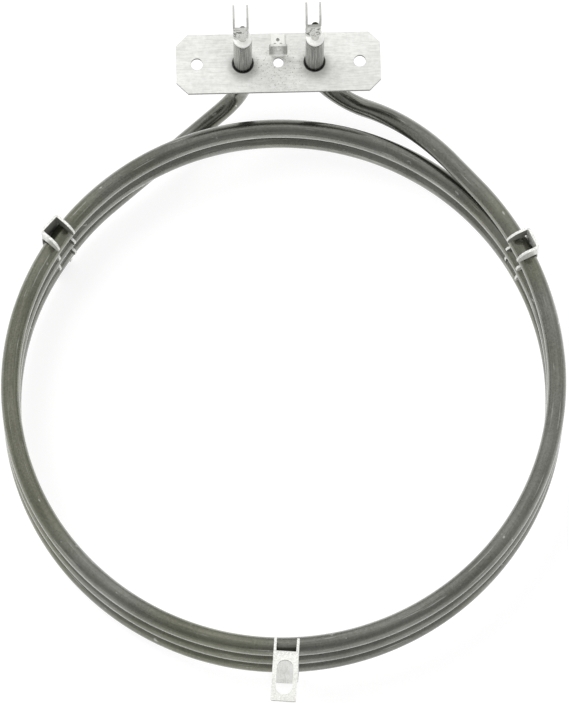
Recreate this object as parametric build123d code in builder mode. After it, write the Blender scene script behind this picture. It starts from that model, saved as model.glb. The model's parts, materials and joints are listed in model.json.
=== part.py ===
from build123d import *
from math import atan2, cos, degrees, radians, sin, tan
import os

# Ring heating element of a fan oven. A steel-sheathed tube is wound into a coil of nearly
# three turns, and both its ends climb to one flange plate, pass through it and carry forked
# tab terminals. Three sheet combs hold the turns apart, and one of them has a fixing ear.
# Millimetres. +Z is the coil's axis and points to the terminals. The pieces are built about
# that axis, with zero height at the lowest comb's end, and are moved once, on export, so that
# the origin is in the middle of the footprint.

# Sheathed tube, and the insulation and resistance coil packed inside it
TUBE_D = 6.4
TUBE_WALL = 0.6
PACKING_GAP = 0.05
WIRE_COIL_D = 2.6

# Coil, wound anticlockwise and upwards from the left lead to the right lead
COIL_R = 93.75
COIL_PITCH = 11.0
COIL_FROM_ANGLE = 146.4
COIL_TO_ANGLE = 5.0
COIL_FULL_TURNS = 3
COIL_CORNER_STEP = 30.0
COIL_BEND_EASE = 0.02

# Flange plate, with its outer face against the oven's rear panel
FLANGE_LENGTH = 70.8
FLANGE_WIDTH = 21.5
FLANGE_T = 1.2
FLANGE_CORNER = 4.0
FLANGE_X = 1.0
FLANGE_FROM_COIL = 18.65
FLANGE_FACE_Z = 46.0
SCREW_SPACING = 56.4
SCREW_HOLE_D = 4.2
SIGHT_HOLE_D = 3.6
TUBE_SPACING = 24.8
TUBES_X = 1.1
TUBE_HOLE_GAP = 0.05
COLLAR_WALL = 0.8
COLLAR_DEPTH = 2.4
COLLAR_ENTRY_R = 0.7

# Leads: how far each bend's corner is from the last one, and how far before it the bend begins
TUBE_STANDOFF = 24.5
LEFT_RUN = 16.3
LEFT_RUN_BEND = 12.7
LEFT_FOOT_Z = 14.2
LEFT_FOOT_BEND_R = 10.5
RIGHT_RUN = 34.3
RIGHT_RUN_BEND = 34.2
RIGHT_KNEE_ANGLE = 62.8
RIGHT_KNEE_FROM_COIL = 10.65
RIGHT_KNEE_BEND = 19.8
RIGHT_KNEE_Z = 33.8
RIGHT_FOOT_Z = 14.5
RIGHT_FOOT_BEND_R = 14.4

# Cold pins, end seals and forked tabs
PIN_D = WIRE_COIL_D
PIN_IN_TUBE = 30.0
PIN_TOPS = {"left": 9.8, "right": 12.5}
SEAL_DEPTH = 6.0
SEAL_LIP = 1.0
SEAL_LIP_ROUND = 0.45
SEAL_GAP = 0.04
FORK_LIFTS = {"left": 5.4, "right": 6.9}
FORK_WIDTH = 5.4
FORK_WEB_HEIGHT = 10.5
FORK_BEND_R = 0.35
WELD_GAP = 0.03
TAB_WIDTH = 6.3
TAB_T = 0.7
TAB_LENGTH = 8.0
TAB_HOLE_D = 1.8
TAB_HOLE_FROM_TIP = 4.1
TAB_TIP_CHAMFER = 1.1

# Earth tab, a strip folded up from the flange plate
EARTH_T = 0.8
EARTH_FROM_CENTRE = 1.7
EARTH_HEIGHT = 12.2
EARTH_NECK_WIDTH = 4.8
EARTH_NECK_HEIGHT = 2.4
EARTH_FOOT_LENGTH = 8.5
EARTH_HOLE_D = 2.1
EARTH_HOLE_HEIGHT = 8.1
EARTH_BEND_R = 0.6
EARTH_TIP_CHAMFER = 0.7
WELD_D = 1.2
WELD_DEPTH = 0.3
WELD_CIRCLE_R = 1.2
WELD_FROM_END = 3.4

# Spacer combs: a folded channel, its web outside the coil, with notches for the turns
COMB_T = 0.9
COMB_WIDTH = 8.6
COMB_TOOTH_PAST_TUBE = 0.7
COMB_END_MARGIN = 9.5
COMB_WEB_GAP = 0.6
COMB_NOTCH_GAP = 0.25
COMB_NOTCH_ROUND = 0.8
COMB_BEND_R = 0.4
COMB_TOOTH_ROUND = 1.3
COMB_SHOULDER_ROUND = 4.4
COMB_FOOT_TOOTH = 6.2
LEFT_COMB_ANGLE = 144.4
LEFT_COMB_TWIST = -7.0
RIGHT_COMB_ANGLE = 28.2
RIGHT_COMB_TWIST = -4.0
RIGHT_COMB_OUT = 0.65
LOWER_COMB_ANGLE = 269.35
LOWER_COMB_TWIST = -4.2
LOWER_TOP_TOOTH = 5.9

# Fixing ear, folded outwards from the lower comb's web, level with the flange's outer face
EAR_LENGTH = 17.0
EAR_SLOT_WIDTH = 5.6
EAR_SLOT_LENGTH = 12.0
EAR_SLOT_FROM_END = 2.3
EAR_RISE = 1.2
EAR_BEND_R = 1.14
EAR_CORNER = 0.6

# Sizes that follow from the ones above
TUBE_R = TUBE_D / 2
BORE_R = TUBE_R - TUBE_WALL
PACKING_R = BORE_R - PACKING_GAP
WIRE_R = WIRE_COIL_D / 2
TUBE_END_Z = FLANGE_FACE_Z + TUBE_STANDOFF
TUBE_X = {"left": TUBES_X - TUBE_SPACING / 2, "right": TUBES_X + TUBE_SPACING / 2}
FLANGE_FROM_AXIS = COIL_R + FLANGE_FROM_COIL
WEB_IN = TUBE_R + COMB_WEB_GAP
WEB_OUT = WEB_IN + COMB_T
COMB_TOOTH = WEB_OUT + TUBE_R + COMB_TOOTH_PAST_TUBE
NOTCH_HEIGHT = TUBE_D + 2 * COMB_NOTCH_GAP
COIL_TURNS = COIL_FULL_TURNS - (COIL_FROM_ANGLE - COIL_TO_ANGLE) / 360
COIL_START_Z = COMB_END_MARGIN + COIL_PITCH * (COIL_FROM_ANGLE - LEFT_COMB_ANGLE) / 360
COIL_END_Z = COIL_START_Z + COIL_PITCH * COIL_TURNS


def on_coil(angle, z, outside=0.0):
    """Point at an angle about the coil's axis and a height, outside its centreline."""
    radius = COIL_R + outside
    return Vector(radius * cos(radians(angle)), radius * sin(radians(angle)), z)


def along_coil(angle):
    """Upward-winding direction of the coil at an angle."""
    rise = COIL_PITCH / (radians(360) * COIL_R)
    return Vector(-sin(radians(angle)), cos(radians(angle)), rise).normalized()


def turn_height(angle, turn):
    """Height of the coil's centreline at an angle, counting turns from the lowest one."""
    after_start = (angle - COIL_FROM_ANGLE) % 360
    return COIL_START_Z + COIL_PITCH * (after_start / 360 + turn)


def coil_corners():
    """Corners outside the coil, whose runs touch the coil's helix halfway along."""
    steps = round(360 * COIL_TURNS / COIL_CORNER_STEP)
    step = 360 * COIL_TURNS / steps
    outside = COIL_R / cos(radians(step / 2)) - COIL_R
    corners = []
    for number in range(steps):
        turned = (number + 0.5) * step
        height = COIL_START_Z + COIL_PITCH * turned / 360
        corners.append(on_coil(COIL_FROM_ANGLE + turned, height, outside))
    return corners


def bend_radius(before, corner, after, reach):
    """Radius of the bend at a corner that begins at a given distance from it."""
    turn = (corner - before).get_angle(after - corner)
    return reach / tan(radians(turn / 2))


def left_lead():
    """Corners and bend radii from the top of the left tube down to the coil's start."""
    start = on_coil(COIL_FROM_ANGLE, COIL_START_Z)
    run = start - along_coil(COIL_FROM_ANGLE) * LEFT_RUN
    foot = Vector(TUBE_X["left"], FLANGE_FROM_AXIS, LEFT_FOOT_Z)
    top = Vector(foot.X, foot.Y, TUBE_END_Z)
    radii = [LEFT_FOOT_BEND_R, bend_radius(foot, run, start, LEFT_RUN_BEND)]
    return [top, foot, run], radii


def right_lead():
    """Corners and bend radii from the coil's end up to the top of the right tube."""
    end = on_coil(COIL_TO_ANGLE, COIL_END_Z)
    run = end + along_coil(COIL_TO_ANGLE) * RIGHT_RUN
    knee = on_coil(RIGHT_KNEE_ANGLE, RIGHT_KNEE_Z, RIGHT_KNEE_FROM_COIL)
    foot = Vector(TUBE_X["right"], FLANGE_FROM_AXIS, RIGHT_FOOT_Z)
    top = Vector(foot.X, foot.Y, TUBE_END_Z)
    run_bend = bend_radius(end, run, knee, RIGHT_RUN_BEND)
    knee_bend = bend_radius(run, knee, foot, RIGHT_KNEE_BEND)
    return [run, knee, foot, top], [run_bend, knee_bend, RIGHT_FOOT_BEND_R]


def tube_path(cut=0.0):
    """Centreline of the whole element, cut back at both ends."""
    (left_top, *left), left_radii = left_lead()
    (*right, right_top), right_radii = right_lead()
    coil = coil_corners()
    shorter = Vector(0, 0, cut)
    corners = [left_top - shorter, *left, *coil, *right, right_top - shorter]
    coil_radii = [COIL_R - COIL_BEND_EASE] * len(coil)
    with BuildLine() as path:
        FilletPolyline(*corners, radius=left_radii + coil_radii + right_radii)
    return path.wire()


def right_lead_height(angle):
    """Height of the right lead where it passes an angle just beyond the coil's end."""
    corners, radii = right_lead()
    with BuildLine() as lead:
        FilletPolyline(on_coil(COIL_TO_ANGLE, COIL_END_Z), *corners, radius=radii)
    path = lead.wire()
    low, high = 0.0, 0.5
    for _ in range(30):
        middle = (low + high) / 2
        point = path @ middle
        if degrees(atan2(point.Y, point.X)) < angle:
            low = middle
        else:
            high = middle
    return (path @ low).Z


def bent_tube(outer_r, inner_r=0.0, cut=0.0):
    """Round section, bored if it has an inner radius, along the cut-back centreline."""
    end = Plane((TUBE_X["left"], FLANGE_FROM_AXIS, TUBE_END_Z - cut), z_dir=(0, 0, -1))
    with BuildPart() as tube:
        with BuildSketch(end):
            Circle(outer_r)
            if inner_r:
                Circle(inner_r, mode=Mode.SUBTRACT)
        sweep(path=tube_path(cut))
    return tube.part


def flange_plate():
    """Plate with chamfered corners, and a drawn collar around each tube on its inner side."""
    collar_r = TUBE_R + TUBE_HOLE_GAP + COLLAR_WALL
    collar_z = FLANGE_FACE_Z - FLANGE_T - COLLAR_DEPTH
    face = Plane.XY.offset(FLANGE_FACE_Z)
    tubes = [(x, FLANGE_FROM_AXIS) for x in TUBE_X.values()]
    screws = [(FLANGE_X + side * SCREW_SPACING / 2, FLANGE_FROM_AXIS) for side in (-1, 1)]
    with BuildPart() as plate:
        with BuildSketch(face) as outline:
            with Locations((FLANGE_X, FLANGE_FROM_AXIS)):
                Rectangle(FLANGE_LENGTH, FLANGE_WIDTH)
            chamfer(outline.vertices(), length=FLANGE_CORNER)
        extrude(amount=-FLANGE_T)
        with BuildSketch(Plane.XY.offset(collar_z)):
            with Locations(*tubes):
                Circle(collar_r)
        extrude(until=Until.NEXT)
        with BuildSketch(face):
            with Locations(*screws):
                Circle(SCREW_HOLE_D / 2)
            with Locations((FLANGE_X, FLANGE_FROM_AXIS)):
                Circle(SIGHT_HOLE_D / 2)
        extrude(amount=-FLANGE_T, mode=Mode.SUBTRACT)
        with BuildSketch(face):
            with Locations(*tubes):
                Circle(TUBE_R + TUBE_HOLE_GAP)
        extrude(amount=collar_z - FLANGE_FACE_Z, mode=Mode.SUBTRACT)
        rims = plate.faces().sort_by(Axis.Z)[-1].inner_wires().edges()
        fillet(rims.filter_by(lambda rim: rim.radius > TUBE_R), radius=COLLAR_ENTRY_R)
    return plate.part


def earth_tab():
    """Strip with its foot spot-welded to the plate and its tab standing up from it."""
    front_y = FLANGE_FROM_AXIS + EARTH_FROM_CENTRE
    top_z = FLANGE_FACE_Z + EARTH_HEIGHT
    shoulder_z = FLANGE_FACE_Z + EARTH_NECK_HEIGHT
    hole_z = FLANGE_FACE_Z + EARTH_HOLE_HEIGHT
    foot_z = FLANGE_FACE_Z + WELD_GAP + EARTH_T
    end_y = front_y + EARTH_FOOT_LENGTH
    section = [
        (front_y, foot_z - EARTH_T),
        (end_y, foot_z - EARTH_T),
        (end_y, foot_z),
        (front_y + EARTH_T, foot_z),
        (front_y + EARTH_T, top_z),
        (front_y, top_z),
    ]
    with BuildPart() as tab:
        with BuildSketch(Plane.YZ.offset(FLANGE_X)) as side:
            Polygon(*section, align=None)
            heel = side.vertices().sort_by_distance((front_y, foot_z - EARTH_T, 0))[0]
            fillet(heel, radius=EARTH_BEND_R + EARTH_T)
            throat = side.vertices().sort_by_distance((front_y + EARTH_T, foot_z, 0))[0]
            fillet(throat, radius=EARTH_BEND_R)
        extrude(amount=TAB_WIDTH / 2, both=True)
        with BuildSketch(Plane.XZ.offset(-front_y)):
            for side in (-1, 1):
                with Locations((FLANGE_X + side * TAB_WIDTH / 2, shoulder_z)):
                    Rectangle(TAB_WIDTH - EARTH_NECK_WIDTH, EARTH_HEIGHT, align=(Align.CENTER, Align.MAX))
            with Locations((FLANGE_X, hole_z)):
                Circle(EARTH_HOLE_D / 2)
        extrude(amount=-EARTH_FOOT_LENGTH, mode=Mode.SUBTRACT)
        tips = tab.edges().filter_by(Axis.Y).group_by(Axis.Z)[-1]
        chamfer(tips, length=EARTH_TIP_CHAMFER)
        weld_y = end_y - WELD_FROM_END
        with BuildSketch(Plane.XY.offset(foot_z)):
            with Locations((FLANGE_X, weld_y)):
                with PolarLocations(WELD_CIRCLE_R, 3, start_angle=90):
                    Circle(WELD_D / 2)
        extrude(amount=-WELD_DEPTH, mode=Mode.SUBTRACT)
    return tab.part


def fork_terminal(side):
    """Folded channel welded to a pin, with its two walls running up into tabs."""
    bottom = TUBE_END_Z + FORK_LIFTS[side]
    web_top = bottom + FORK_WEB_HEIGHT
    tip = web_top + TAB_LENGTH
    inside = FORK_WIDTH / 2 - TAB_T
    centre_x = TUBE_X[side] - (inside - PIN_D / 2 - WELD_GAP)
    front_y = FLANGE_FROM_AXIS - PIN_D / 2 - WELD_GAP - TAB_T
    with BuildPart() as fork:
        with BuildSketch(Plane.XY.offset(bottom)) as section:
            with Locations((centre_x, front_y)):
                Rectangle(FORK_WIDTH, TAB_WIDTH, align=(Align.CENTER, Align.MIN))
            fillet(section.vertices().group_by(Axis.Y)[0], radius=FORK_BEND_R + TAB_T)
            with BuildSketch(mode=Mode.SUBTRACT) as hollow:
                with Locations((centre_x, front_y + TAB_T)):
                    Rectangle(2 * inside, TAB_WIDTH, align=(Align.CENTER, Align.MIN))
                fillet(hollow.vertices().group_by(Axis.Y)[0], radius=FORK_BEND_R)
        extrude(amount=FORK_WEB_HEIGHT)
        with BuildSketch(Plane.XY.offset(web_top)):
            for wall in (-1, 1):
                with Locations((centre_x + wall * (inside + TAB_T / 2), front_y)):
                    Rectangle(TAB_T, TAB_WIDTH, align=(Align.CENTER, Align.MIN))
        extrude(amount=TAB_LENGTH)
        ends = fork.edges().filter_by(Axis.X).group_by(Axis.Z)[-1]
        chamfer(ends, length=TAB_TIP_CHAMFER)
        with BuildSketch(Plane.YZ.offset(centre_x)):
            with Locations((front_y + TAB_WIDTH / 2, tip - TAB_HOLE_FROM_TIP)):
                Circle(TAB_HOLE_D / 2)
        extrude(amount=FORK_WIDTH, both=True, mode=Mode.SUBTRACT)
    return fork.part


def cold_pin(side):
    """Terminal pin, from the end of the resistance coil up into the fork."""
    low = TUBE_END_Z - PIN_IN_TUBE
    high = TUBE_END_Z + PIN_TOPS[side]
    with BuildPart() as pin:
        with BuildSketch(Plane.XY.offset(low)):
            with Locations((TUBE_X[side], FLANGE_FROM_AXIS)):
                Circle(PIN_D / 2)
        extrude(amount=high - low)
    return pin.part


def end_seal(side):
    """Plug in the tube's mouth with a lip over the tube's end, bored for the pin."""
    with BuildPart() as seal:
        with BuildSketch(Plane.XY.offset(TUBE_END_Z + SEAL_GAP)):
            with Locations((TUBE_X[side], FLANGE_FROM_AXIS)):
                Circle(TUBE_R)
        extrude(amount=SEAL_LIP)
        fillet(seal.edges().sort_by(Axis.Z)[-1], radius=SEAL_LIP_ROUND)
        with BuildSketch(Plane.XY.offset(TUBE_END_Z + SEAL_GAP)):
            with Locations((TUBE_X[side], FLANGE_FROM_AXIS)):
                Circle(BORE_R - SEAL_GAP)
        extrude(amount=-SEAL_DEPTH)
        with BuildSketch(Plane.XY.offset(TUBE_END_Z - SEAL_DEPTH)):
            with Locations((TUBE_X[side], FLANGE_FROM_AXIS)):
                Circle(PIN_D / 2 + SEAL_GAP)
        extrude(amount=SEAL_DEPTH + 2 * SEAL_LIP, mode=Mode.SUBTRACT)
    return seal.part


def channel(bottom, top):
    """Folded channel open towards the coil's axis, with its web outside the tube."""
    with BuildPart() as piece:
        with BuildSketch(Plane.XY.offset(bottom)) as section:
            with Locations((WEB_OUT, 0)):
                Rectangle(COMB_TOOTH, COMB_WIDTH, align=(Align.MAX, Align.CENTER))
            fillet(section.vertices().group_by(Axis.X)[-1], radius=COMB_BEND_R + COMB_T)
            with BuildSketch(mode=Mode.SUBTRACT) as hollow:
                with Locations((WEB_IN, 0)):
                    Rectangle(2 * WEB_OUT, COMB_WIDTH - 2 * COMB_T, align=(Align.MAX, Align.CENTER))
                fillet(hollow.vertices().group_by(Axis.X)[-1], radius=COMB_BEND_R)
        extrude(amount=top - bottom)
    return piece.part


def comb(angle, twist, heights, outside=0.0, ear=False):
    """Spacer comb with a notch for each turn, and a fixing ear where it is asked for."""
    top_tooth = LOWER_TOP_TOOTH if ear else COMB_TOOTH
    shoulder_round = COMB_TOOTH_ROUND if ear else COMB_SHOULDER_ROUND
    bottom = min(heights) - COMB_END_MARGIN
    top = FLANGE_FACE_Z - COMB_T - EAR_RISE if ear else max(heights) + COMB_END_MARGIN
    with BuildPart() as piece:
        add(channel(bottom, top))
        with BuildSketch(Plane.XZ) as notches:
            for height in heights:
                with Locations((WEB_IN, height)):
                    Rectangle(4 * WEB_IN, NOTCH_HEIGHT, align=(Align.MAX, Align.CENTER))
            fillet(notches.vertices().group_by(Axis.X)[-1], radius=COMB_NOTCH_ROUND)
            with Locations((WEB_OUT - COMB_FOOT_TOOTH, min(heights))):
                Rectangle(2 * WEB_IN, 2 * COMB_END_MARGIN, align=(Align.MAX, Align.MAX))
            with Locations((WEB_OUT - top_tooth, max(heights))):
                Rectangle(2 * WEB_IN, 2 * COMB_END_MARGIN, align=(Align.MAX, Align.MIN))
        extrude(amount=COMB_WIDTH, both=True, mode=Mode.SUBTRACT)
        tips = piece.edges().filter_by(Axis.Y).filter_by(lambda edge: edge.center().X < 0)
        shoulders = tips.group_by(Axis.Z)[-1]
        fillet(tips - shoulders, radius=COMB_TOOTH_ROUND)
        shoulders = piece.edges().filter_by(Axis.Y).group_by(Axis.Z)[-1].group_by(Axis.X)[0]
        fillet(shoulders, radius=shoulder_round)
        if ear:
            add(fixing_ear(top))
    turned = Location(on_coil(angle, 0, outside), (0, 0, angle + twist))
    return piece.part.moved(turned)


def fixing_ear(web_top):
    """Ear folded outwards from the top of a comb's web, with a round-ended slot."""
    end_x = WEB_OUT + EAR_LENGTH
    under_z = FLANGE_FACE_Z - COMB_T
    section = [
        (WEB_IN, web_top),
        (WEB_OUT, web_top),
        (WEB_OUT, under_z),
        (end_x, under_z),
        (end_x, FLANGE_FACE_Z),
        (WEB_IN, FLANGE_FACE_Z),
    ]
    slot_x = end_x - EAR_SLOT_FROM_END - EAR_SLOT_LENGTH / 2
    with BuildPart() as piece:
        with BuildSketch(Plane.XZ) as side:
            Polygon(*section, align=None)
            throat = side.vertices().sort_by_distance((WEB_OUT, under_z, 0))[0]
            fillet(throat, radius=EAR_BEND_R)
            heel = side.vertices().sort_by_distance((WEB_IN, FLANGE_FACE_Z, 0))[0]
            fillet(heel, radius=EAR_BEND_R + COMB_T)
        extrude(amount=COMB_WIDTH / 2, both=True)
        corners = piece.edges().filter_by(Axis.Z).group_by(Axis.X)[-1]
        fillet(corners, radius=EAR_CORNER)
        with BuildSketch(Plane.XY.offset(under_z)):
            with Locations((slot_x, 0)):
                SlotOverall(EAR_SLOT_LENGTH, EAR_SLOT_WIDTH)
        extrude(amount=COMB_T, mode=Mode.SUBTRACT)
    return piece.part


def turn_heights(angle):
    """Heights of the three turns at an angle."""
    return [turn_height(angle, turn) for turn in range(COIL_FULL_TURNS)]


# The left comb holds the left lead just before it becomes the coil's lowest turn. The right
# comb holds the right lead, which has begun to leave the coil there.
left_heights = [height - COIL_PITCH for height in turn_heights(LEFT_COMB_ANGLE)]
right_low, right_middle, _ = turn_heights(RIGHT_COMB_ANGLE)
right_heights = [right_low, right_middle, right_lead_height(RIGHT_COMB_ANGLE)]
lower_heights = turn_heights(LOWER_COMB_ANGLE)

pieces = {
    "tube_sheath": bent_tube(TUBE_R, BORE_R),
    "magnesia_packing": bent_tube(PACKING_R, WIRE_R + PACKING_GAP, SEAL_DEPTH + SEAL_GAP),
    "resistance_coil": bent_tube(WIRE_R, cut=PIN_IN_TUBE + SEAL_GAP),
    "flange_plate": flange_plate(),
    "earth_tab": earth_tab(),
    "left_comb": comb(LEFT_COMB_ANGLE, LEFT_COMB_TWIST, left_heights),
    "right_comb": comb(
        RIGHT_COMB_ANGLE, RIGHT_COMB_TWIST, right_heights, outside=RIGHT_COMB_OUT
    ),
    "lower_comb": comb(LOWER_COMB_ANGLE, LOWER_COMB_TWIST, lower_heights, ear=True),
}
for end in ("left", "right"):
    pieces[end + "_cold_pin"] = cold_pin(end)
    pieces[end + "_end_seal"] = end_seal(end)
    pieces[end + "_fork_terminal"] = fork_terminal(end)

# The footprint runs from the lower comb's ear to the plate's far edge.
back_y = pieces["flange_plate"].bounding_box().max.Y
front_y = pieces["lower_comb"].bounding_box().min.Y
floor_z = pieces["left_comb"].bounding_box().min.Z
to_origin = Location((0, -(back_y + front_y) / 2, -floor_z))

os.makedirs("parts", exist_ok=True)
for name, piece in pieces.items():
    placed = piece.moved(to_origin)
    placed.label = name
    export_step(placed, "parts/" + name + ".step")
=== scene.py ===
"""Looks of a fan-oven ring heating element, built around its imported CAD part.

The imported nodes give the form. The tube's skin is drawn again here as one smooth surface, and
the sheet pieces get their worn edges. The seals, pins, packing and wire are shown as packed. A
white floor, a light tent, two soft lamps and a camera complete the scene.

Lengths in this script are millimetres until they are written to a mesh. The frame is in metres,
with its origin in the middle of the footprint.
"""

import json
import math

import bpy
import bmesh
import numpy as np
from mathutils import Matrix, Vector


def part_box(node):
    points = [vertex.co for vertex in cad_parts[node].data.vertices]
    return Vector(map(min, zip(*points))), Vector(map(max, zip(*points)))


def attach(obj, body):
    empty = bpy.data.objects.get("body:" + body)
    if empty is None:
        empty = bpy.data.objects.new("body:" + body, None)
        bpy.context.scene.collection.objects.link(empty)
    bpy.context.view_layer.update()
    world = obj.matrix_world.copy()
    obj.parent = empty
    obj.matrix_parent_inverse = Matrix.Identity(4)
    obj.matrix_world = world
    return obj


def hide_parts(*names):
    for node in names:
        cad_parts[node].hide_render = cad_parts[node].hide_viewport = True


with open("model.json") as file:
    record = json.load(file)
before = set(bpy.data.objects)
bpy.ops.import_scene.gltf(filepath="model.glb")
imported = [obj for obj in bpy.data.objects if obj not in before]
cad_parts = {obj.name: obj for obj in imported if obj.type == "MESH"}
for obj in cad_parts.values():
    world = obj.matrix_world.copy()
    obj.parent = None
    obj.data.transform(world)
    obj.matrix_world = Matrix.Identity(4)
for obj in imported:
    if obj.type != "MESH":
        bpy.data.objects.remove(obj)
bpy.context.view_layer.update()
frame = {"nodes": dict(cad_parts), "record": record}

MM = 0.001

# ---------------------------------------------------------------- sizes of the bent tube
TUBE_R = 3.2
BORE_R = 2.6
TUBE_TOP = 70.5
RIM_R = 0.25  # rounding of the tube's mouths
BORE_SEEN = 8.0  # depth of bore drawn behind each mouth

# The coil runs from an angle just past the left comb's, where its height is given.
COIL_R = 93.75
PITCH = 11.0
LEFT_COMB_ANGLE, LEFT_COMB_Z = 144.4, 9.5
START_ANGLE, END_ANGLE = 146.4, 5.0
COIL_FROM = math.radians(START_ANGLE)
COIL_TURNS = 3 - (START_ANGLE - END_ANGLE) / 360
COIL_START_Z = LEFT_COMB_Z + PITCH * (START_ANGLE - LEFT_COMB_ANGLE) / 360

# The legs stand at the flange. A run is a lead's straight part, and a reach is the distance from
# a corner at which its bend begins. The right lead has a knee, given about the coil's axis.
FLANGE_OUT = 18.65
FLANGE_Y = COIL_R + FLANGE_OUT
LEGS_X, LEG_OFF = 1.1, 12.4
LEFT_X, RIGHT_X = LEGS_X - LEG_OFF, LEGS_X + LEG_OFF
LEFT_FOOT_Z, RIGHT_FOOT_Z = 14.2, 14.5
LEFT_RUN, RIGHT_RUN = 16.3, 34.3
LEFT_RUN_REACH, RIGHT_RUN_REACH, KNEE_REACH = 12.7, 34.2, 19.8
LEFT_FOOT_R, RIGHT_FOOT_R = 10.5, 14.4
KNEE_ANGLE, KNEE_Z, KNEE_OUT = 62.8, 33.8, 10.65

# ---------------------------------------------------------------- places of the other pieces
PLATE_WIDTH = 21.5
AXIS_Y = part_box("flange_plate")[1].y / MM - FLANGE_Y - PLATE_WIDTH / 2
PLATE_X, PLATE_Y, PLATE_Z = 1.0, FLANGE_Y + AXIS_Y, 46.0
EAR_OUT = 5.5
EAR_FROM_Y = AXIS_Y - COIL_R - EAR_OUT
COMBS = ((LEFT_COMB_ANGLE, -7.0), (28.2, -4.0), (269.35, -4.2))  # angle and twist
COMB_INNER, COMB_WEB = 3.6, 4.2  # half the channel's width, and its depth
EARTH_WELDS = ((-1.04, 6.2), (0.0, 8.0), (1.04, 6.2))  # from the plate's middle


# ---------------------------------------------------------------- node graphs
class Wire:
    """One output socket, which takes part in arithmetic with numbers and other sockets."""

    def __init__(self, graph, socket):
        self.graph = graph
        self.socket = socket

    def _op(self, kind, a, b):
        return self.graph.node("ShaderNodeMath", a, b, operation=kind)

    def __add__(self, other):
        return self._op("ADD", self, other)

    def __sub__(self, other):
        return self._op("SUBTRACT", self, other)

    def __mul__(self, other):
        return self._op("MULTIPLY", self, other)

    def __pow__(self, other):
        return self._op("POWER", self, other)

    __radd__ = __add__


class Graph:
    """A material's or the world's node tree, filled by node()."""

    def __init__(self, owner):
        owner.use_nodes = True
        self.tree = owner.node_tree
        self.tree.nodes.clear()

    def node(self, kind, *inputs, out=0, sockets=None, **settings):
        """Makes a node, feeds its inputs in order or by name, and returns one output."""
        made = self.tree.nodes.new(kind)
        for key, value in settings.items():
            setattr(made, key, value)
        fed = list(enumerate(inputs)) + list((sockets or {}).items())
        for key, value in fed:
            if isinstance(value, Wire):
                self.tree.links.new(value.socket, made.inputs[key])
            else:
                made.inputs[key].default_value = value
        return Wire(self, made.outputs[out]) if len(made.outputs) else made

    def ray(self, kind):
        """1 for rays of one kind, such as Camera or Glossy, and 0 for the others."""
        return self.node("ShaderNodeLightPath", out=f"Is {kind} Ray")

    def place(self, scale=(1, 1, 1), uv=False):
        """Object coordinates, or the piece's own UV, in millimetres and times a scale."""
        source = self.node("ShaderNodeTexCoord", out="UV" if uv else "Object")
        per_mm = 1.0 if uv else 1 / MM
        size = tuple(per_mm * s for s in scale)
        return self.node("ShaderNodeMapping", sockets={"Vector": source, "Scale": size})

    def axes(self):
        """The three Object coordinates in millimetres."""
        where = self.place()
        return [self.node("ShaderNodeSeparateXYZ", where, out=axis) for axis in "XYZ"]

    def fall(self, value, low, high):
        """1 below low and 0 above high."""
        return self.band(value, low, high, 1.0, 0.0)

    def near(self, x, y, inner, outer):
        """1 within a radius about an upright line at x, y, and 0 beyond a wider one."""
        across, along, _ = self.axes()
        return self.fall(((across - x) ** 2 + (along - y) ** 2) ** 0.5, inner, outer)

    def upward(self):
        """1 on faces that look up and 0 on upright ones."""
        source = self.node("ShaderNodeTexCoord", out="Normal")
        return self.band(self.node("ShaderNodeSeparateXYZ", source, out="Z"), 0.4, 0.8)

    def noise(self, where, scale, detail=3.0, rough=0.55):
        """Fractal noise from 0 to 1."""
        fed = {"Vector": where, "Scale": scale, "Detail": detail, "Roughness": rough}
        return self.node("ShaderNodeTexNoise", sockets=fed)

    def band(self, value, low, high, to_low=0.0, to_high=1.0):
        """Maps low..high to to_low..to_high, smoothly and clamped."""
        names = ("Value", "From Min", "From Max", "To Min", "To Max")
        fed = dict(zip(names, (value, low, high, to_low, to_high)))
        return self.node("ShaderNodeMapRange", sockets=fed, interpolation_type="SMOOTHSTEP")

    def blend(self, factor, a, b):
        """Mixes two colours."""
        fed = {0: factor, 6: a, 7: b}
        return self.node("ShaderNodeMix", sockets=fed, out=2, data_type="RGBA")

    def bump(self, height, distance, strength=1.0):
        """Normal of a height field in millimetres."""
        fed = {"Height": height, "Distance": distance * MM, "Strength": strength}
        return self.node("ShaderNodeBump", sockets=fed)

    def surface(self, **named):
        """Principled surface joined to the material's output."""
        fed = {key.replace("_", " "): value for key, value in named.items()}
        shader = self.node("ShaderNodeBsdfPrincipled", sockets=fed)
        self.node("ShaderNodeOutputMaterial", shader)


def rgb(r, g, b):
    """Colour written as 0..255 screen values, as the linear RGBA that nodes take."""
    screen = [c / 255 for c in (r, g, b)]
    linear = [c / 12.92 if c <= 0.04045 else ((c + 0.055) / 1.055) ** 2.4 for c in screen]
    return (*linear, 1.0)


def grey(value, warm=0.0):
    """Near-neutral screen grey, made warmer by taking some blue away."""
    return rgb(value, value, value - warm)


def material(name, build):
    """Material whose graph is written by build(graph)."""
    made = bpy.data.materials.new(name)
    build(Graph(made))
    return made


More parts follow.
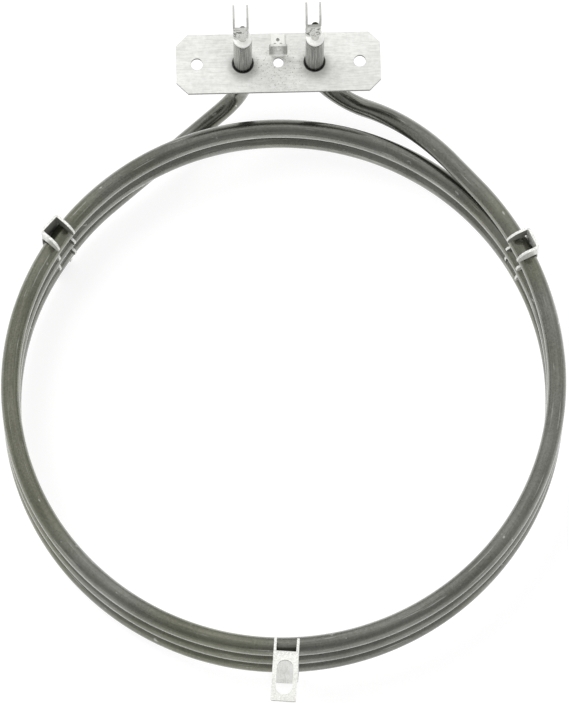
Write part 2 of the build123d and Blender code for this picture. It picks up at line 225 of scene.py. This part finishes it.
# ---------------------------------------------------------------- materials
def sheath_look(g):
    """Oxidised stainless tube: olive grey, with drawn streaks, blotches and nicks, lighter legs
    streaked darker above the plate, and painted shade just under each mouth.
    """
    lines = g.noise(g.place((0.02, 1.0, 1.0), uv=True), 2.2, 4.0, 0.7)
    streak = g.noise(g.place((0.035, 1.0, 1.0), uv=True), 1.1, 3.0, 0.6)
    blotch = g.noise(g.place(), 0.045, 3.0)
    patch = g.noise(g.place(), 0.012, 2.0)
    grain = g.noise(g.place(), 1.3, 4.0, 0.7)
    nick = g.band(g.noise(g.place((0.6, 1.0, 1.0), uv=True), 0.42, 2.0), 0.69, 0.75)
    scratch = g.band(streak, 0.62, 0.70)
    tone = lines * 0.35 + blotch * 0.3 + grain * 0.35
    plain = g.band(patch, 0.42, 0.56)
    dark = g.blend(plain, rgb(82, 83, 70), rgb(84, 85, 78))
    light = g.blend(plain, rgb(114, 115, 101), rgb(116, 117, 110))
    base = g.blend(g.band(tone, 0.36, 0.64), dark, light)
    marked = g.blend(nick * 0.35 + scratch * 0.35, base, grey(215, 4))
    up = g.axes()[2]
    # Above the plate the legs are made lighter, then streaked darker along their length.
    leg = g.band(up, PLATE_Z - 2, PLATE_Z + 1)
    legs_lightened = g.blend(leg * 0.4, marked, grey(215, 4))
    legs_streaked_darker = g.blend(leg * g.band(lines, 0.44, 0.58, 0.05, 0.85), legs_lightened, grey(70, 4))
    # Painted shade: a dark line round the tube just under each mouth, where the seal sits.
    rim = g.band(up, TUBE_TOP - 0.55, TUBE_TOP - 0.25)
    colour = g.blend(rim * 0.85, legs_streaked_darker, grey(58, 6))
    rough = g.band(tone, 0.35, 0.65, 0.32, 0.20)
    height = lines * 0.5 + grain * 0.5 + nick * 0.4
    g.surface(
        Base_Color=colour,
        Metallic=0.95,
        Roughness=rough,
        Normal=g.bump(height, 0.03, 0.6),
        Coat_Weight=0.3,
        Coat_Roughness=0.07,
        Coat_IOR=1.7,
    )


def plate_look(g):
    """Bright zinc-coated plate: brushed, specked about its middle, with painted shadow and a
    painted shade ring round the tubes.
    """
    where = g.place()
    spangle = g.noise(where, 0.5, 5.0, 0.65)
    cloud = g.noise(where, 0.06, 2.0)
    stroke = g.noise(g.place((0.2, 2.2, 1)), 0.8, 4.0, 0.75)
    scratch = g.band(stroke, 0.58, 0.68) * g.band(cloud, 0.38, 0.58)
    middle = g.near(PLATE_X, PLATE_Y - 3.0, 4.0, 15.0)
    speck = g.band(g.noise(where, 1.5, 3.0, 0.7), 0.585, 0.635) * middle
    # Painted shadow: a soft dark halo on the plate round each tube's foot, set toward the front.
    painted_shadow_halo = sum(g.near(x, PLATE_Y - 1.4, 3.0, 6.8) for x in (LEFT_X, RIGHT_X))
    # Painted shade: a thin dark ring in the gap round each tube.
    rim = sum(g.near(x, PLATE_Y, 3.7, 3.95) for x in (LEFT_X, RIGHT_X))
    tone = spangle * 0.35 + cloud * 0.2 + stroke * 0.45
    base = g.blend(g.band(tone, 0.38, 0.62), rgb(211, 212, 207), rgb(238, 238, 234))
    worn = g.blend(scratch * 0.7, base, grey(198, 6))
    specked = g.blend(speck * 0.8, worn, grey(130, 6))
    faced = g.blend(g.upward(), grey(150, 5), specked)
    plate_with_painted_shadow = g.blend(painted_shadow_halo * 0.5, faced, grey(120, 4))
    colour = g.blend(rim * 0.85, plate_with_painted_shadow, grey(40, 2))
    rough = g.band(tone, 0.35, 0.65, 0.48, 0.34)
    normal = g.bump(spangle + stroke * 0.6 + speck, 0.03, 0.5)
    g.surface(Base_Color=colour, Metallic=0.15, Roughness=rough, Normal=normal)


def inside_combs(g):
    """1 on the faces inside the combs' channels, and 0 outside and on their cut ends.

    From the middle of each comb, with r and t the directions out of the coil and along it,
    a face is inside where its distance along t and its place along r are under fixed values.
    """
    across, along, _ = g.axes()
    soft, around_one, past_one = 0.1, 13, 14
    total = 0
    for angle, twist in COMBS:
        at, turned = math.radians(angle), math.radians(angle + twist)
        x, y = COIL_R * math.cos(at), COIL_R * math.sin(at) + AXIS_Y
        r = (across - x) * math.cos(turned) + (along - y) * math.sin(turned)
        t = (along - y) * math.cos(turned) - (across - x) * math.sin(turned)
        between = g.fall(t ** 2, (COMB_INNER - soft) ** 2, (COMB_INNER + soft) ** 2)
        behind = g.fall(r, COMB_WEB - soft, COMB_WEB + soft)
        total = total + between * behind * g.near(x, y, around_one, past_one)
    return total


def comb_look(g):
    """Cold-rolled sheet with painted shade inside the channels, and bright cut ends and ear.

    The web here is the lower comb's, just under its ear, made near white and not metallic
    as a painted reflection. The ear's cut sides are darkened as painted shade.
    """
    rolled = g.noise(g.place((1.6, 1.6, 0.12)), 1.2, 4.0, 0.7)
    fine = g.noise(g.place(), 1.8, 4.0, 0.75)
    cloud = g.noise(g.place(), 0.12, 3.0)
    tone = rolled * 0.35 + cloud * 0.2 + fine * 0.45
    outer = g.blend(g.band(tone, 0.38, 0.62), grey(204, 6), grey(248, 5))
    # Painted shade: the faces inside the channels are darkened.
    face = g.blend(inside_combs(g) * 0.8, outer, grey(92, 8))
    edge = g.blend(g.band(fine, 0.38, 0.60), grey(205, 4), grey(250, 3))
    along = g.axes()[1]
    ear = g.fall(along, EAR_FROM_Y - 0.6, EAR_FROM_Y)
    # Painted reflection: the lower comb's web just under the ear is made near white and not
    # metallic.
    web = g.fall(along, EAR_FROM_Y + 0.3, EAR_FROM_Y + 0.9)
    flat = g.blend(g.band(tone, 0.40, 0.60), grey(212, 6), grey(244, 4))
    # Painted shade: the ear's upright cut sides are darkened.
    side = g.blend(ear, g.blend(web, face, grey(253, 2)), grey(128, 5))
    colour = g.blend(g.upward(), side, g.blend(ear, edge, flat))
    metallic = (ear - web + 1) * 0.12
    rough = g.band(tone, 0.35, 0.65, 0.42, 0.28)
    normal = g.bump(rolled + fine, 0.03, 0.5)
    g.surface(Base_Color=colour, Metallic=metallic, Roughness=rough, Normal=normal)


def tab_look(g):
    """Bright tinned sheet, pitted at the forks' welds, with duller blades.

    The earth tab, just above the plate, has dark weld spots on its foot. Its blade is darkened
    towards its sides as painted shade, and its light middle and root are a painted reflection.
    """
    across, _, up = g.axes()
    over_tube, over_plate = up - TUBE_TOP, up - PLATE_Z
    cloud = g.noise(g.place(), 0.25, 3.0)
    fine = g.noise(g.place((1, 1, 0.2)), 1.8, 4.0, 0.7)
    tone = cloud * 0.5 + fine * 0.5
    base = g.blend(g.band(tone, 0.38, 0.62), grey(230, 5), grey(248, 4))
    pit = g.band(g.noise(g.place((1, 1, 0.8)), 0.85, 3.0, 0.6), 0.54, 0.585)
    weld = g.band(over_tube, 6.4, 7.6) * g.fall(over_tube, 14, 16.5)
    pitted = g.blend(pit * weld * 0.9, base, grey(66, 8))
    fork = g.blend(g.band(over_tube, 15.5, 17.0) * 0.75, pitted, grey(164, 4))
    spots = sum(g.near(PLATE_X + x, PLATE_Y + y, 0.45, 0.75) for x, y in EARTH_WELDS)
    spotted = g.blend(spots * g.band(over_plate, 1.5, 2.5, 0.75, 0.0), fork, grey(70, 6))
    # Painted shade and reflection: the blade is darkened, most towards its sides, while its
    # middle and its root by the plate stay light.
    off = ((across - PLATE_X) ** 2) ** 0.5
    painted_shade_and_reflection = g.band(over_plate, 2.5, 4.5) * g.band(off, 0.6, 2.4, 0.45, 1.0)
    painted_shade_and_reflection = painted_shade_and_reflection * g.fall(over_plate, 11, 13)
    colour = g.blend(painted_shade_and_reflection * 0.75, spotted, grey(126, 4))
    rough = g.band(tone, 0.35, 0.65, 0.38, 0.22)
    normal = g.bump(fine - pit * weld * 2, 0.04, 0.5)
    g.surface(Base_Color=colour, Metallic=0.12, Roughness=rough, Normal=normal)


def pin_look(g):
    """Drawn steel pin, plated bright, with a dark top end."""
    ring = g.noise(g.place((0.4, 0.4, 2.0)), 1.0, 3.0)
    steel = g.blend(g.band(ring, 0.4, 0.6), grey(206, 8), grey(232, 6))
    dark_top = g.band(g.axes()[2], TUBE_TOP + 7.5, TUBE_TOP + 8.5)
    colour = g.blend(dark_top, steel, rgb(52, 50, 44))
    rough = g.band(ring, 0.3, 0.7, 0.5, 0.38)
    g.surface(Base_Color=colour, Metallic=0.3, Roughness=rough)


def seal_look(g):
    """White ceramic end seal, very slightly mottled."""
    cloud = g.noise(g.place(), 0.8, 4.0)
    colour = g.blend(g.band(cloud, 0.4, 0.62), grey(246, 3), grey(252, 2))
    g.surface(Base_Color=colour, Roughness=0.35, Normal=g.bump(cloud, 0.03, 0.3))


def packing_look(g):
    """Compacted white powder."""
    cloud = g.noise(g.place(), 1.4, 4.0)
    g.surface(Base_Color=g.blend(cloud, grey(222, 6), grey(238, 4)), Roughness=0.95)


def wire_look(g):
    """Drawn resistance alloy, wound close."""
    turns = g.noise(g.place((1, 1, 6)), 1.2, 2.0)
    g.surface(Base_Color=g.blend(turns, grey(140, 8), grey(168, 6)), Metallic=0.9, Roughness=0.4)


# ---------------------------------------------------------------- the tube's skin
def unit(v):
    """Vector of length one."""
    return v / np.linalg.norm(v)


def rounded_path(points, bends, step=1.0):
    """Straight runs between points, with each inner corner replaced by a tangent arc.

    At a corner with unit directions a (in) and b (out) and turn angle t, an arc of radius r
    starts r*tan(t/2) before the corner, and runs p + a*r*sin(s) + n*r*(1 - cos(s)), where n is
    the unit part of b square to a and s goes from 0 to t. A bend is that starting distance.
    """
    points = [np.array(p, float) for p in points]
    rows = [points[0][None]]
    for before, corner, after, bend in zip(points, points[1:], points[2:], bends):
        a, b = unit(corner - before), unit(after - corner)
        turn = math.acos(float(a @ b))
        r = bend / math.tan(turn / 2)
        n = (b - a * (a @ b)) / math.sin(turn)
        s = np.linspace(0, turn, max(8, int(r * turn / step)))[:, None]
        rows.append(corner - a * bend + a * r * np.sin(s) + n * r * (1 - np.cos(s)))
    rows.append(points[-1][None])
    return np.vstack(rows)


def around(angle, z, out=0.0):
    """Point about the coil's axis, out from the coil's centreline."""
    r = COIL_R + out
    return np.array([r * math.cos(angle), r * math.sin(angle), z])


def winding(angle):
    """Unit direction in which the coil climbs at an angle."""
    return unit(np.array([-math.sin(angle), math.cos(angle), PITCH / (2 * math.pi * COIL_R)]))


def foot_bend(radius, run, foot):
    """Distance before a foot at which the bend of that radius into the upright leg begins."""
    slope = unit(np.array(foot) - run)[2]
    return radius * math.tan(math.acos(slope) / 2)


def centreline(step=1.6, helix_points=900):
    """Left leg, left lead, helix, right lead and right leg, resampled at an even step.

    The helix is (R cos a, R sin a, z0 + p (a - a0) / 2pi), and the leads are rounded paths
    that leave it along its tangent.
    """
    a0, a1 = COIL_FROM, COIL_FROM + 2 * math.pi * COIL_TURNS
    first, last = around(a0, COIL_START_Z), around(a1, COIL_START_Z + PITCH * COIL_TURNS)
    foot, top = (LEFT_X, FLANGE_Y, LEFT_FOOT_Z), (LEFT_X, FLANGE_Y, TUBE_TOP)
    run = first - winding(a0) * LEFT_RUN
    bends = (LEFT_RUN_REACH, foot_bend(LEFT_FOOT_R, run, foot))
    left = rounded_path([first, run, foot, top], bends)
    foot, top = (RIGHT_X, FLANGE_Y, RIGHT_FOOT_Z), (RIGHT_X, FLANGE_Y, TUBE_TOP)
    run = last + winding(a1) * RIGHT_RUN
    knee = around(math.radians(KNEE_ANGLE), KNEE_Z, KNEE_OUT)
    bends = (RIGHT_RUN_REACH, KNEE_REACH, foot_bend(RIGHT_FOOT_R, knee, foot))
    right = rounded_path([last, run, knee, foot, top], bends)
    a = np.linspace(a0, a1, helix_points)[1:-1, None]
    climb = COIL_START_Z + PITCH * (a - a0) / (2 * math.pi)
    helix = np.hstack([COIL_R * np.cos(a), COIL_R * np.sin(a), climb])
    path = np.vstack([left[::-1], helix, right])
    length = np.concatenate([[0], np.cumsum(np.linalg.norm(np.diff(path, axis=0), axis=1))])
    even = np.linspace(0, length[-1], int(length[-1] / step))
    return np.stack([np.interp(even, length, path[:, k]) for k in range(3)], 1), even


def add_object(name, data):
    """New object of the scene that holds a mesh, a lamp or a camera."""
    obj = bpy.data.objects.new(name, data)
    bpy.context.scene.collection.objects.link(obj)
    return obj


def shade_smooth(mesh):
    """Shades every face of a mesh smoothly."""
    mesh.polygons.foreach_set("use_smooth", np.ones(len(mesh.polygons), bool))


def new_mesh(name, vertices, faces, uv=None):
    """Object from arrays of vertices in millimetres and of quads, with a UV for each corner."""
    mesh = bpy.data.meshes.new(name)
    mesh.from_pydata((vertices * MM).tolist(), [], faces.tolist())
    shade_smooth(mesh)
    if uv is not None:
        layer = mesh.uv_layers.new(name="own")
        layer.data.foreach_set("uv", uv.ravel())
    mesh.update()
    return add_object(name, mesh)


def tube_skin(name, sides=48):
    """Skin of the bent tube, with rolled rims and the first of its bore.

    A point is c(s) + r(s) * (n cos v + m sin v): c is the centreline, n the direction away from
    the coil's axis made square to it, m = t x n, and r is the tube's radius, which turns over a
    quarter-round rim to the bore's radius at both ends. UV is length and girth in millimetres.
    """
    path, along = centreline()
    tangent = np.gradient(path, axis=0)
    tangent /= np.linalg.norm(tangent, axis=1)[:, None]
    out = path * (1, 1, 0)
    n = out - tangent * np.sum(out * tangent, axis=1)[:, None]
    n /= np.linalg.norm(n, axis=1)[:, None]
    m = np.cross(tangent, n)
    tight = 0.02
    q = np.linspace(0, math.pi / 2, 6)
    bore = [BORE_R, BORE_R, BORE_R + tight]
    radius = np.concatenate([bore, TUBE_R - RIM_R + RIM_R * np.sin(q)])
    back = np.concatenate([[BORE_SEEN, tight, 0.0], RIM_R * (1 - np.cos(q))])
    k = len(back)
    first = path[0] + tangent[0] * back[:, None]
    last = path[-1] - tangent[-1] * back[::-1, None]
    centre = np.vstack([first, path[1:-1], last])
    r = np.concatenate([radius, np.full(len(path) - 2, TUBE_R), radius[::-1]])
    nn = np.vstack([np.repeat(n[:1], k, 0), n[1:-1], np.repeat(n[-1:], k, 0)])
    mm = np.vstack([np.repeat(m[:1], k, 0), m[1:-1], np.repeat(m[-1:], k, 0)])
    u = np.concatenate([back, along[1:-1], along[-1] - back[::-1]])
    v = np.linspace(0, 2 * math.pi, sides, endpoint=False)
    ring = nn[:, None] * np.cos(v)[None, :, None] + mm[:, None] * np.sin(v)[None, :, None]
    vertices = centre[:, None] + r[:, None, None] * ring
    vertices = vertices.reshape(-1, 3) + (0, AXIS_Y, 0)
    i, j = np.meshgrid(np.arange(len(centre) - 1), np.arange(sides), indexing="ij")
    i, j = i.ravel(), j.ravel()
    nxt = (j + 1) % sides
    here, ahead = i * sides, (i + 1) * sides
    faces = np.stack([here + j, here + nxt, ahead + nxt, ahead + j], 1)
    girth = 2 * math.pi * TUBE_R / sides
    corner_u = np.stack([u[i], u[i], u[i + 1], u[i + 1]], 1)
    corner_v = np.stack([j, j + 1, j + 1, j], 1) * girth
    return new_mesh(name, vertices, faces, np.stack([corner_u, corner_v], 2))


# ---------------------------------------------------------------- sheet pieces
def sheet_piece(node, name, width):
    """A CAD node's own mesh, joined up, with its sharp edges rounded by a given width."""
    touching, flat_degrees, sharp_degrees = 2e-6, 1.0, 40
    mesh = frame["nodes"][node].data.copy()
    work = bmesh.new()
    work.from_mesh(mesh)
    bmesh.ops.remove_doubles(work, verts=work.verts, dist=touching)
    limit = math.radians(flat_degrees)
    bmesh.ops.dissolve_limit(work, angle_limit=limit, verts=work.verts, edges=work.edges)
    work.to_mesh(mesh)
    work.free()
    mesh.name = name
    shade_smooth(mesh)
    obj = add_object(name, mesh)
    bevel = obj.modifiers.new("edge", "BEVEL")
    bevel.width = width * MM
    bevel.segments = 2
    bevel.limit_method = "ANGLE"
    bevel.angle_limit = math.radians(sharp_degrees)
    bevel.use_clamp_overlap = True
    even = obj.modifiers.new("even", "WEIGHTED_NORMAL")
    even.mode = "FACE_AREA"
    even.weight = 100
    return obj


LOOKS = {
    "sheath_steel": sheath_look,
    "magnesia": packing_look,
    "resistance_wire": wire_look,
    "plate_steel": plate_look,
    "comb_steel": comb_look,
    "tab_steel": tab_look,
    "seal_ceramic": seal_look,
    "pin_steel": pin_look,
}
looks = {slot: material(slot, build) for slot, build in LOOKS.items()}
slots = {entry["node"]: entry["material_slot"] for entry in frame["record"]["subparts"]}


def put_look(obj, node):
    """Gives an object the finish of a CAD node's slot."""
    obj.data.materials.clear()
    obj.data.materials.append(looks[slots[node]])


def dress(obj, node):
    """Gives a new piece its finish and body, in place of a CAD node."""
    put_look(obj, node)
    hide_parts(node)
    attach(obj, "root")


dress(tube_skin("tube_skin"), "tube_sheath")
EDGES = {
    "flange_plate": 0.15,
    "earth_tab": 0.12,
    "left_comb": 0.14,
    "right_comb": 0.14,
    "lower_comb": 0.14,
    "left_fork_terminal": 0.12,
    "right_fork_terminal": 0.12,
}
for node, width in EDGES.items():
    dress(sheet_piece(node, node + "_sheet", width), node)
kept = set(slots) - set(EDGES) - {"tube_sheath"}
for node in sorted(kept):
    shown = frame["nodes"][node]
    put_look(shown, node)
    shade_smooth(shown.data)


# ---------------------------------------------------------------- floor, world and lamps
def floor_look(g):
    """Pale floor, white to the camera and in reflections, that keeps the object's shadow."""
    glint = g.band(g.axes()[1], -180, 20, 0.85, 1.15)
    others = g.ray("Glossy") * glint + g.ray("Transmission") * 0.66
    level = g.node("ShaderNodeMath", g.ray("Camera") * 0.68, others, operation="MAXIMUM")
    matt = g.node("ShaderNodeBsdfDiffuse", grey(178))
    glow = g.node("ShaderNodeEmission", grey(255), level)
    both = g.node("ShaderNodeAddShader", matt, glow)
    g.node("ShaderNodeOutputMaterial", both)


def make_floor():
    """Flat square far wider than the object, a hair below what the object stands on."""
    half, below = 3000.0, 0.02
    corners = np.array([[-1, -1, 0], [1, -1, 0], [1, 1, 0], [-1, 1, 0]], float) * half
    floor = new_mesh("floor", corners - (0, 0, below), np.array([[0, 1, 2, 3]]))
    floor.data.materials.append(material("floor", floor_look))


def make_world():
    """Light tent: white to the camera, and for reflections brighter above the far side.

    For reflections its level is 0.97 + 0.9 y z, where y is the backward and z the upward part
    of the unit direction. What lights the object has a plain level.
    """
    world = bpy.data.worlds.new("studio")
    bpy.context.scene.world = world
    g = Graph(world)
    toward = g.node("ShaderNodeTexCoord", out="Generated")
    back = g.node("ShaderNodeSeparateXYZ", toward, out="Y")
    up = g.node("ShaderNodeSeparateXYZ", toward, out="Z")
    tent = back * up * 0.9 + 0.97
    plain = 0.72
    level = g.ray("Camera") * (1 - plain) + g.ray("Glossy") * (tent - plain)
    level = level + g.ray("Transmission") * (0.92 - plain) + plain
    g.node("ShaderNodeOutputWorld", g.node("ShaderNodeBackground", grey(255), level))


def lamp(name, place, size, power):
    """Square soft lamp at a place in millimetres, aimed at the origin, unseen in reflections."""
    data = bpy.data.lights.new(name, "AREA")
    data.shape = "SQUARE"
    data.size = size * MM
    data.energy = power
    obj = add_object(name, data)
    obj.location = Vector(place) * MM
    obj.rotation_mode = "QUATERNION"
    obj.rotation_quaternion = (-obj.location).to_track_quat("-Z", "Y")
    obj.visible_glossy = False


def make_camera():
    """Camera far above the coil, leaning 17 degrees from its axis, with a slight roll.

    The target is given from the pivot, on the coil's axis, about which all is swung at last.
    """
    lean, roll, swing = math.radians(17.12), math.radians(0.63), math.radians(-2.0)
    distance, target, pivot = 2500, Vector((0.30, 10.17, 0)), Vector((0, AXIS_Y, 38.03))
    sensor_mm, focal_px, tall_px = 36.0, 7290, 703
    ahead = Vector((0, math.sin(lean), -math.cos(lean)))
    right, up = Vector((1, 0, 0)), Vector((0, math.cos(lean), math.sin(lean)))
    x = right * math.cos(roll) + up * math.sin(roll)
    y = up * math.cos(roll) - right * math.sin(roll)
    place = target - ahead * distance
    turn = Matrix.Rotation(swing, 4, "Z")
    axes = Matrix((x, y, -ahead)).transposed().to_4x4()
    data = bpy.data.cameras.new("camera")
    data.sensor_width = sensor_mm
    data.lens = focal_px * sensor_mm / tall_px
    data.clip_start, data.clip_end = 0.1, 50.0
    cam = add_object("camera", data)
    cam.matrix_world = Matrix.Translation((turn @ place + pivot) * MM) @ turn @ axes
    bpy.context.scene.camera = cam


make_floor()
make_world()
lamp("key", (-700, 500, 1500), 900, 11.0)
lamp("fill", (900, -700, 1300), 1100, 5.0)
make_camera()
bpy.context.scene.view_settings.view_transform = "Standard"
